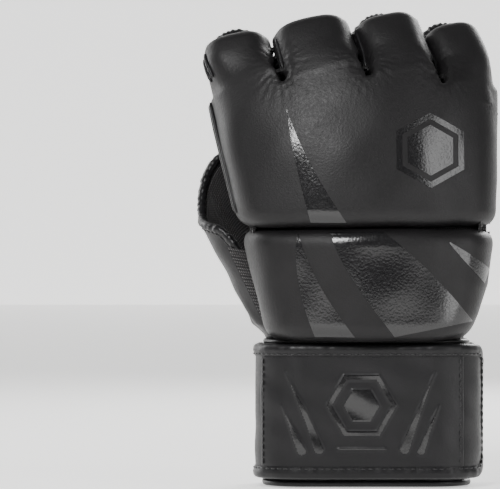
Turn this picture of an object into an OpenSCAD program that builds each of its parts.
// Open-palm grappling and striking glove for the right hand, standing on its cuff.
// The back of the hand faces -Y, the palm faces +Y, the fingers point along +Z and the thumb is on the -X side.
// The origin is the middle of the cuff's lower rim. All sizes are in millimetres.

/* [Cuff and strap] */
// Width of the closed strap across the wrist
cuff_w = 112; // [100:1:135]
// Depth of the closed strap from back to palm
cuff_d = 68; // [62:1:82]
// Radius of the strap's four corners, seen from below
cuff_corner = 26; // [22:1:28]
// Height of the closure strap
strap_h = 65; // [54:1:78]
// Height of cuff that shows below the strap
cuff_show = 4; // [3.3:0.1:6]
// Thickness of the padded strap
strap_t = 3.2; // [2.4:0.2:3.8]
// Thickness of each half of the hook and loop fastener
fastener_t = 1.2; // [1:0.1:1.4]

/* [Back of the hand] */
// Height of the back-of-hand pad
backhand_h = 52; // [43:1:62]
// Width of the back-of-hand pad at the wrist
backhand_w_low = 97; // [84:1:108]
// Width of the pads at the flex line between them
crease_w = 125; // [110:1:136]
// Height of the knuckle pad from the flex line to the finger bases
knuckle_h = 75; // [62:1:90]
// Width of the knuckle pad at the finger bases
knuckle_w = 143.6; // [140:0.2:160]
// Thickness of both pads in the middle
pad_t = 22; // [18:0.5:26.5]
// Height of the flex line
crease_gap = 2.4; // [2:0.1:3]

/* [Fingers and palm] */
// Angle by which the knuckle pad leans over to the palm at the finger bases
tilt = 22; // [18:1:26]
// Angle by which the fingers lean towards the thumb side
lean = 14; // [8:1:16]
// Radius of the biggest finger hole, the middle finger's
middle_hole_r = 15.3; // [12.7:0.1:15.6]
// Gap between neighbouring fingers
slot = 3.8; // [3.2:0.1:5]
// Curve radius of the fingers, at the middle of the hole
finger_bend_r = 67.5; // [60:0.5:80]
// Height of the palm band under the fingers
band_h = 16; // [13:0.5:19]
// Distance from the middle plane to the palm band
palm_y = 24; // [20:0.5:26]

/* [Thumb] */
// Height of the thumb sheath above the cuff, at its top
thumb_h = 92; // [78:1:95]
// Half width of the thumb sheath at its mouth
thumb_mouth_a = 36; // [32:0.5:38]
// Thickness of the raised thumb guard
guard_t = 6; // [5:0.5:7.2]

/* [Leather and lining] */
// Thickness of the cover leather
leather_t = 1.5; // [1.2:0.1:1.8]
// Thickness of the knitted lining
lining_t = 1.2; // [1:0.1:1.5]
// Room left between layers that are sewn together
fit = 0.2; // [0.1:0.05:0.25]

/* [Hidden] */
fine = 96;          // $fn of true circles
rough = 20;         // $fn of rounded outline corners
wide = 400;         // larger than the glove, for cuts
rim_h = 3.2;        // height of the cuff's rim binding
bind_w = 6;         // width of the strap's edge binding
bind_t = 0.6;       // thickness that a binding adds to each face

// Heights of the main lines
strap_z0 = cuff_show;
strap_z1 = strap_z0 + strap_h;
cuff_top = strap_z1 + 2;
backhand_z0 = cuff_top + 0.5;
crease_z = backhand_z0 + backhand_h;
knuckle_z0 = crease_z + crease_gap;

// Cuff layers, given as half depths of the rounded rectangle, from the outside in
tab_out = cuff_d / 2;
tab_in = tab_out - strap_t;
hook_in = tab_in - fit - fastener_t;
loop_in = hook_in - fit - fastener_t;
shell_out = loop_in - fit;
shell_in = shell_out - 2;
lining_out = shell_in - fit;
lining_in = lining_out - lining_t;
palm_run_in = shell_out + fit;
palm_run_out = palm_run_in + strap_t;
side_extra = (cuff_w - cuff_d) / 2;      // half width minus half depth, the same for every layer
strap_split_y = -15;                     // where the closure tab leaves the palm run, on the thumb side
peel_gap = 2.2;                          // room for the tab's end to turn as it peels open
strap_start_y = 4;                       // where the palm run is sewn down, on the little-finger side
tab_end_y = -6;                          // how far the tab wraps the little-finger side

// Back of the hand: two slabs between an outer and an inner arc
pad_out_r = 110;
pad_in_r = 160;
back_y = -(cuff_d / 2 + 11);             // outer face of the pads in the middle
crease_c = 0.5;                          // sideways middle of the pads at the flex line
base_c = -7;                             // and at the finger bases
knuckle_r = knuckle_h / sin(tilt);       // bend of the knuckle pad, at its outer face
knuckle_cy = back_y + knuckle_r;

// Fingers, from the index to the little finger
finger_names = ["index", "middle", "ring", "little"];
pitch_share = [0.25, 0.28, 0.246, 0.224];
row_w = knuckle_w - 3.6;
row_c = base_c + 2.5;
finger_yaw = [-6, -2, 2, 6];
finger_curl = [17.5, 19.5, 24, 24];
lobe_t = [16.5, 20, 20, 15.5];
tube_from = 4;                           // the tubes start above their bend axis, to leave room for curling
base_gap = 0.5;
rim_deg = 2.6;
function sum_to(v, i) = i <= 0 ? 0 : v[i - 1] + sum_to(v, i - 1);
function pitch(i) = row_w * pitch_share[i];
function finger_w(i) = pitch(i) - slot;
function finger_x(i) = row_c + row_w * (sum_to(pitch_share, i) + pitch_share[i] / 2 - 0.5);
function hole_r(i) = min(middle_hole_r, finger_w(i) / 2 - 2.7);
function tube_r(i) = hole_r(i) + lining_t + fit;
// Distance of the pads' inner face from the bend axis, at x
function inner_n(x) = knuckle_r - pad_t - pad_in_r + sqrt(pow(pad_in_r, 2) - pow(x - base_c, 2));
function hole_n(i) = inner_n(finger_x(i)) - tube_r(i);
function finger_base(i) = [finger_x(i), knuckle_cy - hole_n(i) * cos(tilt), knuckle_z0 + hole_n(i) * sin(tilt)];

// Palm
band_z1 = knuckle_z0 + knuckle_h * 0.62;
band_z0 = band_z1 - band_h;
palm_r = 300;
palm_leather = 2.4;
side_t = 2;                              // leather at the sides, sewn behind the edges of the pads
side_y0 = -24;
side_y1 = palm_y - 3;
side_top = knuckle_z0 + knuckle_h * 0.66;
side_low = [20, 8];                      // height of the knuckle side panels' lower edges: index side, little side
heel_x0 = -44;
heel_x1 = backhand_w_low / 2 + 6;
heel_rise = 30;
heel_y = shell_out - 1;
heel_sag = pow(backhand_w_low / 2, 2) / (2 * palm_r);
outer_y1 = heel_y - heel_sag - 2;        // palm edge of the outer side panel, by the heel panel

// Thumb sheath: an open C, seen from above, that grows towards its mouth
thumb_z0 = cuff_top + 7;
thumb_z1 = cuff_top + thumb_h;
thumb_y = back_y + pad_t + 35;           // the sheath stands clear of the pads' inner face
thumb_low = [-30.5, thumb_y, 25, 22];    // centre x, centre y, half width and half depth at the bottom
thumb_high = [-63.5, thumb_y + 6, thumb_mouth_a, 24];
thumb_from = 230;                        // angles of the C, from its back edge to its palm edge
thumb_to = 30;
thumb_skin = 2;
rows = 6;
cols = 14;

// ---------- general helpers ----------

// A closed wall between two grids of points that have the same rows and columns: rows go up, and columns
// go clockwise round the outer face, seen from above
module wall_between(outer, inner) {
    nr = len(outer);
    nc = len(outer[0]);
    n = nr * nc;
    points = concat([for (row = inner) each row], [for (row = outer) each row]);
    at = function(r, c) r * nc + c;
    faces = concat(
        [for (r = [0 : nr - 2], c = [0 : nc - 2]) [at(r, c), at(r + 1, c), at(r + 1, c + 1)]],
        [for (r = [0 : nr - 2], c = [0 : nc - 2]) [at(r, c), at(r + 1, c + 1), at(r, c + 1)]],
        [for (r = [0 : nr - 2], c = [0 : nc - 2]) [n + at(r, c), n + at(r + 1, c + 1), n + at(r + 1, c)]],
        [for (r = [0 : nr - 2], c = [0 : nc - 2]) [n + at(r, c), n + at(r, c + 1), n + at(r + 1, c + 1)]],
        [for (c = [0 : nc - 2]) each [[at(0, c), at(0, c + 1), n + at(0, c + 1)],
            [at(0, c), n + at(0, c + 1), n + at(0, c)]]],
        [for (c = [0 : nc - 2]) each [[at(nr - 1, c + 1), at(nr - 1, c), n + at(nr - 1, c)],
            [at(nr - 1, c + 1), n + at(nr - 1, c), n + at(nr - 1, c + 1)]]],
        [for (r = [0 : nr - 2]) each [[at(r + 1, 0), at(r, 0), n + at(r, 0)],
            [at(r + 1, 0), n + at(r, 0), n + at(r + 1, 0)]]],
        [for (r = [0 : nr - 2]) each [[at(r, nc - 1), at(r + 1, nc - 1), n + at(r + 1, nc - 1)],
            [at(r, nc - 1), n + at(r + 1, nc - 1), n + at(r, nc - 1)]]]);
    polyhedron(points, faces, convexity = 6);
}

// Sweeps a 2D shape, drawn as [distance from the axis, x], upwards from the -Y side of an axis along X
module arc_sweep(angle) {
    rotate([90, 0, -90]) rotate_extrude(angle = angle, $fn = fine) mirror([0, 1]) children();
}

// Extrudes a shape drawn in x and z through the whole depth, between two depths
module through_y(y0, y1) {
    translate([0, y1, 0]) rotate([90, 0, 0]) linear_extrude(y1 - y0) children();
}

module ring2d(r_out, r_in) {
    difference() {
        circle(r_out, $fn = fine);
        circle(r_in, $fn = fine);
    }
}

// ---------- cuff and strap ----------

// Rounded rectangle of one cuff layer, given by its half depth
module layer2d(half_d) {
    r = half_d - (cuff_d / 2 - cuff_corner);
    half_w = half_d + side_extra;
    square([2 * half_w, 2 * (half_d - r)], center = true);
    square([2 * (half_w - r), 2 * half_d], center = true);
    for (sx = [-1, 1], sy = [-1, 1])
        translate([sx * (half_w - r), sy * (half_d - r)]) circle(r, $fn = fine);
}

module layer(half_out, half_in, z0, z1) {
    translate([0, 0, z0]) linear_extrude(z1 - z0) difference() {
        layer2d(half_out);
        layer2d(half_in);
    }
}

module keep_back(y) {
    translate([-wide / 2, y - wide, -wide / 2]) cube(wide);
}

module cuff_shell() {
    color("#1d1c1e") layer(shell_out, shell_in, 1, cuff_top);
}

module cuff_lining() {
    color("#2a2728") layer(lining_out, lining_in, 1, cuff_top);
}

module cuff_rim_binding() {
    color("#161516") difference() {
        layer(shell_out + fit + bind_t, lining_in - fit - bind_t, 0, rim_h);
        layer(shell_out + fit, lining_in - fit, 1 - fit, rim_h + 1);
    }
}

// The stretch of strap that is sewn to the cuff and runs round the palm side
module palm_run(half_out, half_in, z0, z1) {
    difference() {
        layer(half_out, half_in, z0, z1);
        keep_back(strap_split_y + peel_gap);
        translate([0, strap_start_y - wide, -wide / 2]) cube(wide);
    }
}

module wrist_strap() {
    color("#1b1a1c") palm_run(palm_run_out, palm_run_in, strap_z0 + bind_t + fit, strap_z1 - bind_t - fit);
}

module wrist_strap_binding() {
    color("#161516") for (edge = [[strap_z0, strap_z0 + bind_w], [strap_z1 - bind_w, strap_z1]])
        difference() {
            palm_run(palm_run_out + fit + bind_t, palm_run_in, edge[0], edge[1]);
            layer(palm_run_out + fit, palm_run_in - 1, strap_z0 + bind_t, strap_z1 - bind_t);
        }
}

// Region of the closure tab, seen from the back: square at the thumb side, rounded at its free end
module tab_area(inset) {
    r = 12 - inset;
    x0 = -cuff_w / 2 - 1;
    x1 = cuff_w / 2 + 0.5 - inset;
    z0 = strap_z0 + inset;
    z1 = strap_z1 - inset;
    through_y(-wide / 2, tab_end_y - inset) {
        translate([x0, z0]) square([x1 - r - x0, z1 - z0]);
        translate([x0, z0 + r]) square([x1 - x0, z1 - z0 - 2 * r]);
        for (z = [z0 + r, z1 - r]) translate([x1 - r, z]) circle(r, $fn = fine);
    }
}

module tab_layer(half_out, half_in, inset) {
    difference() {
        intersection() {
            layer(half_out, half_in, strap_z0, strap_z1);
            tab_area(inset);
        }
        translate([-wide, strap_split_y - 0.4, -wide / 2]) cube(wide);
    }
}

module closure_tab() {
    color("#1b1a1c") tab_layer(tab_out - fit - bind_t, tab_in, bind_t + fit);
}

module closure_tab_binding() {
    color("#161516") difference() {
        tab_layer(tab_out, tab_in, 0);
        tab_area(bind_w);
        tab_layer(tab_out - bind_t, tab_in - 1, bind_t);
    }
}

module patch(half_out, half_in, x0, x1, inset) {
    intersection() {
        layer(half_out, half_in, strap_z0 + inset, strap_z1 - inset);
        translate([x0, -wide, 0]) cube([x1 - x0, wide, wide]);
    }
}

module loop_patch() {
    color("#232123") patch(hook_in - fit, loop_in, -cuff_w / 2 + 34, cuff_w / 2 - cuff_corner, bind_w + 1);
}

module hook_patch() {
    color("#141315") patch(tab_in - fit, hook_in, -cuff_w / 2 + 46, cuff_w / 2 - cuff_corner, bind_w + 3);
}

// Smooth panel stitched to the outside of the tab
module tab_panel() {
    color("#201f21") patch(tab_out + 0.6, tab_out - bind_t, -cuff_w / 2 + cuff_corner - 8,
        cuff_w / 2 - cuff_corner + 6, bind_w + 1);
}

// ---------- pads on the back of the hand ----------

module rounded(r) {
    offset(r = r, $fn = rough) offset(delta = -r) children();
}

module backhand_outline() {
    rounded(7) polygon([[-backhand_w_low / 2, backhand_z0], [crease_c - crease_w / 2, crease_z],
        [crease_c + crease_w / 2, crease_z], [crease_c + crease_w / 2 - 5, crease_z - backhand_h * 0.55],
        [backhand_w_low / 2, backhand_z0]]);
}

module knuckle_outline() {
    half = knuckle_w / 2;
    top = knuckle_z0 + knuckle_h * 1.4;
    rounded(7) polygon([[crease_c - crease_w / 2, knuckle_z0], [base_c - half + 5, knuckle_z0 + knuckle_h * 0.62],
        [base_c - half, knuckle_z0 + knuckle_h * 0.92], [base_c - half - 2, top], [base_c + half + 1, top],
        [base_c + half, knuckle_z0 + knuckle_h * 0.6], [crease_c + crease_w / 2, knuckle_z0]]);
}

// Section of the knuckle pad, as distance from the bend axis and x, taken in by skin
module pad_section(skin) {
    difference() {
        intersection() {
            translate([knuckle_r - pad_out_r, base_c]) circle(pad_out_r - skin, $fn = fine);
            translate([1, -wide / 2]) square(wide);
        }
        translate([knuckle_r - pad_t - pad_in_r, base_c]) circle(pad_in_r + skin, $fn = fine);
    }
}

// Everything beyond the bases of the fingers, lowered by drop
module finger_room(drop) {
    for (i = [0 : 3]) {
        left = i == 0 ? 60 : pitch(i) / 2 + 1;
        right = i == 3 ? 60 : pitch(i) / 2 + 1;
        at_finger(i) translate([-left, -80, -base_gap - drop]) cube([left + right, 160, 110]);
    }
}

module knuckle_slab(skin) {
    difference() {
        intersection() {
            translate([0, knuckle_cy, knuckle_z0]) arc_sweep(tilt + 12) pad_section(skin);
            through_y(-wide / 2, wide / 2) offset(delta = -skin) knuckle_outline();
        }
        finger_room(skin);
    }
}

module knuckle_cover() {
    color("#1f1e20") difference() {
        knuckle_slab(0);
        knuckle_slab(leather_t);
    }
}

module knuckle_foam() {
    color("#3a3a3c") knuckle_slab(leather_t + fit);
}

// Everything behind the knuckle pad, from one depth below its inner face to another
module behind_knuckles(from, to) {
    translate([0, knuckle_cy, knuckle_z0]) arc_sweep(tilt + 12) intersection() {
        translate([knuckle_r - pad_t - pad_in_r, base_c]) ring2d(pad_in_r - from, pad_in_r - to);
        translate([1, -wide / 2]) square(wide);
    }
}

module knuckle_lining() {
    color("#2a2728") difference() {
        intersection() {
            behind_knuckles(fit, fit + lining_t);
            through_y(-wide / 2, wide / 2) offset(delta = -side_t - fit) knuckle_outline();
        }
        finger_room(1);
    }
}

module backhand_slab(skin) {
    intersection() {
        linear_extrude(wide) difference() {
            translate([crease_c, back_y + pad_out_r]) circle(pad_out_r - skin, $fn = fine);
            translate([crease_c, back_y + pad_t + pad_in_r]) circle(pad_in_r + skin, $fn = fine);
        }
        through_y(-wide / 2, 0) offset(delta = -skin) backhand_outline();
    }
}

module backhand_cover() {
    color("#1f1e20") difference() {
        backhand_slab(0);
        backhand_slab(leather_t);
    }
}

module backhand_foam() {
    color("#3a3a3c") backhand_slab(leather_t + fit);
}

// Everything behind the back-of-hand pad, from one depth below its inner face to another
module behind_backhand(from, to) {
    linear_extrude(wide) translate([crease_c, back_y + pad_t + pad_in_r]) ring2d(pad_in_r - from, pad_in_r - to);
}

module hand_lining() {
    color("#2a2728") intersection() {
        behind_backhand(fit, fit + lining_t);
        through_y(-wide / 2, 0) offset(delta = -side_t - fit) backhand_outline();
    }
}

// ---------- fingers ----------

// Moves a finger's own frame into place: x across, y to the palm, z along the finger from its base
module at_finger(i) {
    translate(finger_base(i)) rotate([0, 0, finger_yaw[i]]) rotate([-tilt, 0, 0]) rotate([0, -lean, 0]) children();
}

// Sweeps a section along finger i, from one bend angle to another
module finger_sweep(i, from, to) {
    at_finger(i) translate([0, finger_bend_r, 0]) rotate([-from, 0, 0]) arc_sweep(to - from) children();
}

module lobe_section(i, skin) {
    r = 9 - skin;
    n0 = finger_bend_r + 3 + skin;
    n1 = finger_bend_r + tube_r(i) + lobe_t[i] - skin;
    half = finger_w(i) / 2 - skin;
    difference() {
        union() {
            translate([n0, -half]) square([n1 - r - n0, 2 * half]);
            translate([n0, -half + r]) square([n1 - n0, 2 * (half - r)]);
            for (s = [-1, 1]) translate([n1 - r, s * (half - r)]) circle(r, $fn = fine);
        }
        translate([finger_bend_r, 0]) circle(tube_r(i) + skin, $fn = fine);
    }
}

module finger_cover(i) {
    cap = leather_t / finger_bend_r * 57.3;
    color("#1f1e20") difference() {
        finger_sweep(i, 0, finger_curl[i]) lobe_section(i, 0);
        finger_sweep(i, cap, finger_curl[i] - cap) lobe_section(i, leather_t);
    }
}

module finger_foam(i) {
    cap = (leather_t + fit) / finger_bend_r * 57.3;
    color("#3a3a3c") finger_sweep(i, cap, finger_curl[i] - cap) lobe_section(i, leather_t + fit);
}

// Palm side of the finger tube
module finger_sleeve(i) {
    color("#1b1a1c") finger_sweep(i, tube_from, finger_curl[i]) difference() {
        translate([finger_bend_r, 0]) ring2d(finger_w(i) / 2, tube_r(i));
        translate([finger_bend_r + 3 - fit, -wide / 2]) square(wide);
    }
}

module finger_lining(i) {
    color("#2a2728") finger_sweep(i, tube_from, finger_curl[i]) translate([finger_bend_r, 0])
        ring2d(hole_r(i) + lining_t, hole_r(i));
}

module finger_binding(i) {
    gap = 0.15;
    color("#161516") finger_sweep(i, finger_curl[i] + gap, finger_curl[i] + rim_deg) translate([finger_bend_r, 0])
        ring2d(finger_w(i) / 2 + 0.4, hole_r(i) - 0.6);
}

// ---------- palm side ----------

// A sheet that follows the palm, between two depths measured in the middle
module palm_sheet(y, t, z0, z1) {
    translate([0, y - palm_r, z0]) linear_extrude(z1 - z0) intersection() {
        ring2d(palm_r + t, palm_r);
        translate([-wide / 2, 0]) square(wide);
    }
}

// The palm side between the two side panels
module palm_width() {
    through_y(-wide / 2, wide / 2) offset(delta = -side_t - fit) knuckle_outline();
}

module palm_band() {
    color("#1b1a1c") intersection() {
        palm_sheet(palm_y, palm_leather, band_z0 + fit + bind_t, band_z1 - fit - bind_t);
        palm_width();
    }
}

module palm_band_binding() {
    color("#161516") for (edge = [[band_z0, band_z0 + 4], [band_z1 - 4, band_z1]])
        intersection() {
            difference() {
                palm_sheet(palm_y - fit - bind_t, palm_leather + 2 * (fit + bind_t), edge[0], edge[1]);
                palm_sheet(palm_y - fit, palm_leather + 2 * fit, band_z0 + bind_t, band_z1 - bind_t);
            }
            palm_width();
        }
}

// Leather at the sides of the knuckle pad, from the pad round to the palm band
module knuckle_side(side) {
    z0 = knuckle_z0 + (side > 0 ? side_low[1] : side_low[0]);
    color("#1b1a1c") intersection() {
        through_y(side_y0, side_y1) difference() {
            knuckle_outline();
            offset(delta = -side_t) knuckle_outline();
        }
        behind_knuckles(fit, 90);
        translate([side > 0 ? 30 : -30 - wide, -wide / 2, z0]) cube([wide, wide, side_top - z0]);
    }
}

module outer_side_panel() {
    color("#1b1a1c") intersection() {
        through_y(side_y0, outer_y1) difference() {
            backhand_outline();
            offset(delta = -side_t) backhand_outline();
        }
        behind_backhand(fit, 90);
        translate([30, -wide / 2, backhand_z0 + 8]) cube([wide, wide, backhand_h - 14]);
    }
}

// Height of the heel panel's slanted top edge
function heel_top(x) = cuff_top + 2 + heel_rise * (x - heel_x0) / (heel_x1 - heel_x0);

module heel_strip(low, high) {
    polygon([[heel_x0, heel_top(heel_x0) + low], [heel_x1, heel_top(heel_x1) + low],
        [heel_x1, heel_top(heel_x1) + high], [heel_x0, heel_top(heel_x0) + high]]);
}

module heel_panel() {
    color("#1b1a1c") intersection() {
        palm_sheet(heel_y, 2, 0, wide / 2);
        through_y(0, wide / 2) polygon([[heel_x0, cuff_top + 0.5], [heel_x1, cuff_top + 0.5],
            [heel_x1, heel_top(heel_x1) - bind_t - fit], [heel_x0, heel_top(heel_x0) - bind_t - fit]]);
    }
}

module heel_binding() {
    color("#161516") intersection() {
        difference() {
            palm_sheet(heel_y - fit - bind_t, 2 + 2 * (fit + bind_t), 0, wide / 2);
            intersection() {
                palm_sheet(heel_y - fit, 2 + 2 * fit, 0, wide / 2);
                through_y(0, wide / 2) heel_strip(-20, -bind_t);
            }
        }
        through_y(0, wide / 2) difference() {
            heel_strip(-4, 0);
            translate([-wide / 2, -wide]) square([wide, wide + cuff_top + 0.3]);
        }
    }
}

// ---------- thumb ----------

function mix(a, b, t) = a + (b - a) * t;

// Height of the sheath's mouth round the C: low behind, high on the palm side, lower at the palm edge
function ease(t) = t * t * (3 - 2 * t);
function mouth_drop(angle) = angle > 180 ? 35 + (angle - 180) / 10
    : angle > 90 ? 35 * ease((angle - 90) / 90) : 24 * pow((90 - angle) / 60, 1.3);
function foot_rise(angle) = angle < 90 ? 14 * pow((90 - angle) / 60, 1.3) : 0;

// A point of the sheath: angle round the C, share of its height, and depth below the outer face
function sheath(angle, share, depth) =
    let (z0 = thumb_z0 + foot_rise(angle), z1 = thumb_z1 - mouth_drop(angle), z = mix(z0, z1, share),
        k = (z - thumb_z0) / (thumb_z1 - thumb_z0), c = [for (j = [0 : 3]) mix(thumb_low[j], thumb_high[j], k)])
    [c[0] + (c[2] - depth) * cos(angle), c[1] + (c[3] - depth) * sin(angle), z];

function sheath_grid(a0, a1, s0, s1, depth) =
    [for (r = [0 : rows]) [for (c = [0 : cols]) sheath(mix(a0, a1, c / cols), mix(s0, s1, r / rows), depth)]];

module sheath_wall(a0, a1, s0, s1, outer, inner) {
    wall_between(sheath_grid(a0, a1, s0, s1, outer), sheath_grid(a0, a1, s0, s1, inner));
}

module thumb_sheath() {
    color("#1b1a1c") sheath_wall(thumb_from, thumb_to, 0, 0.97, 0, thumb_skin);
}

module thumb_lining() {
    color("#2a2728") sheath_wall(thumb_from - 2, thumb_to + 2, 0.02, 0.96, thumb_skin + fit,
        thumb_skin + fit + lining_t);
}

module thumb_binding() {
    color("#161516") sheath_wall(thumb_from, thumb_to, 0.975, 1.02, -0.5, thumb_skin + lining_t + 0.6);
}

// Raised guard on the palm side of the thumb, between two depths: its edge slopes in towards the face
module guard_block(skin, foot, face) {
    low = sheath_grid(118 - skin / 0.6, 60 + skin / 0.6, 0.14 + skin / 90, 0.82 - skin / 90, foot);
    high = sheath_grid(113 - skin / 0.6, 65 + skin / 0.6, 0.19 + skin / 90, 0.77 - skin / 90, face);
    wall_between(high, low);
}

module thumb_guard_cover() {
    color("#201f21") difference() {
        guard_block(0, -fit, -guard_t);
        guard_block(leather_t, 0, leather_t - guard_t);
    }
}

module thumb_guard_foam() {
    color("#3a3a3c") guard_block(leather_t + fit, -fit, leather_t + fit - guard_t);
}

// Elastic knit from the back of the hand over the sheath's back edge
module thumb_gusset() {
    color("#242224") sheath_wall(thumb_from + 18, thumb_from - 4, 0.06, 0.8, -2, -0.8);
}

// ---------- the glove ----------

cuff_shell();
cuff_lining();
cuff_rim_binding();
wrist_strap();
wrist_strap_binding();
loop_patch();
closure_tab();
closure_tab_binding();
hook_patch();
tab_panel();
backhand_cover();
backhand_foam();
hand_lining();
heel_panel();
heel_binding();
outer_side_panel();
thumb_gusset();
knuckle_cover();
knuckle_foam();
knuckle_lining();
palm_band();
palm_band_binding();
knuckle_side(-1);  // index_side_panel
knuckle_side(1);  // little_side_panel
thumb_sheath();
thumb_lining();
thumb_binding();
thumb_guard_cover();
thumb_guard_foam();
for (i = [0 : 3]) {
    finger_cover(i);
    finger_foam(i);
    finger_sleeve(i);
    finger_lining(i);
    finger_binding(i);
}
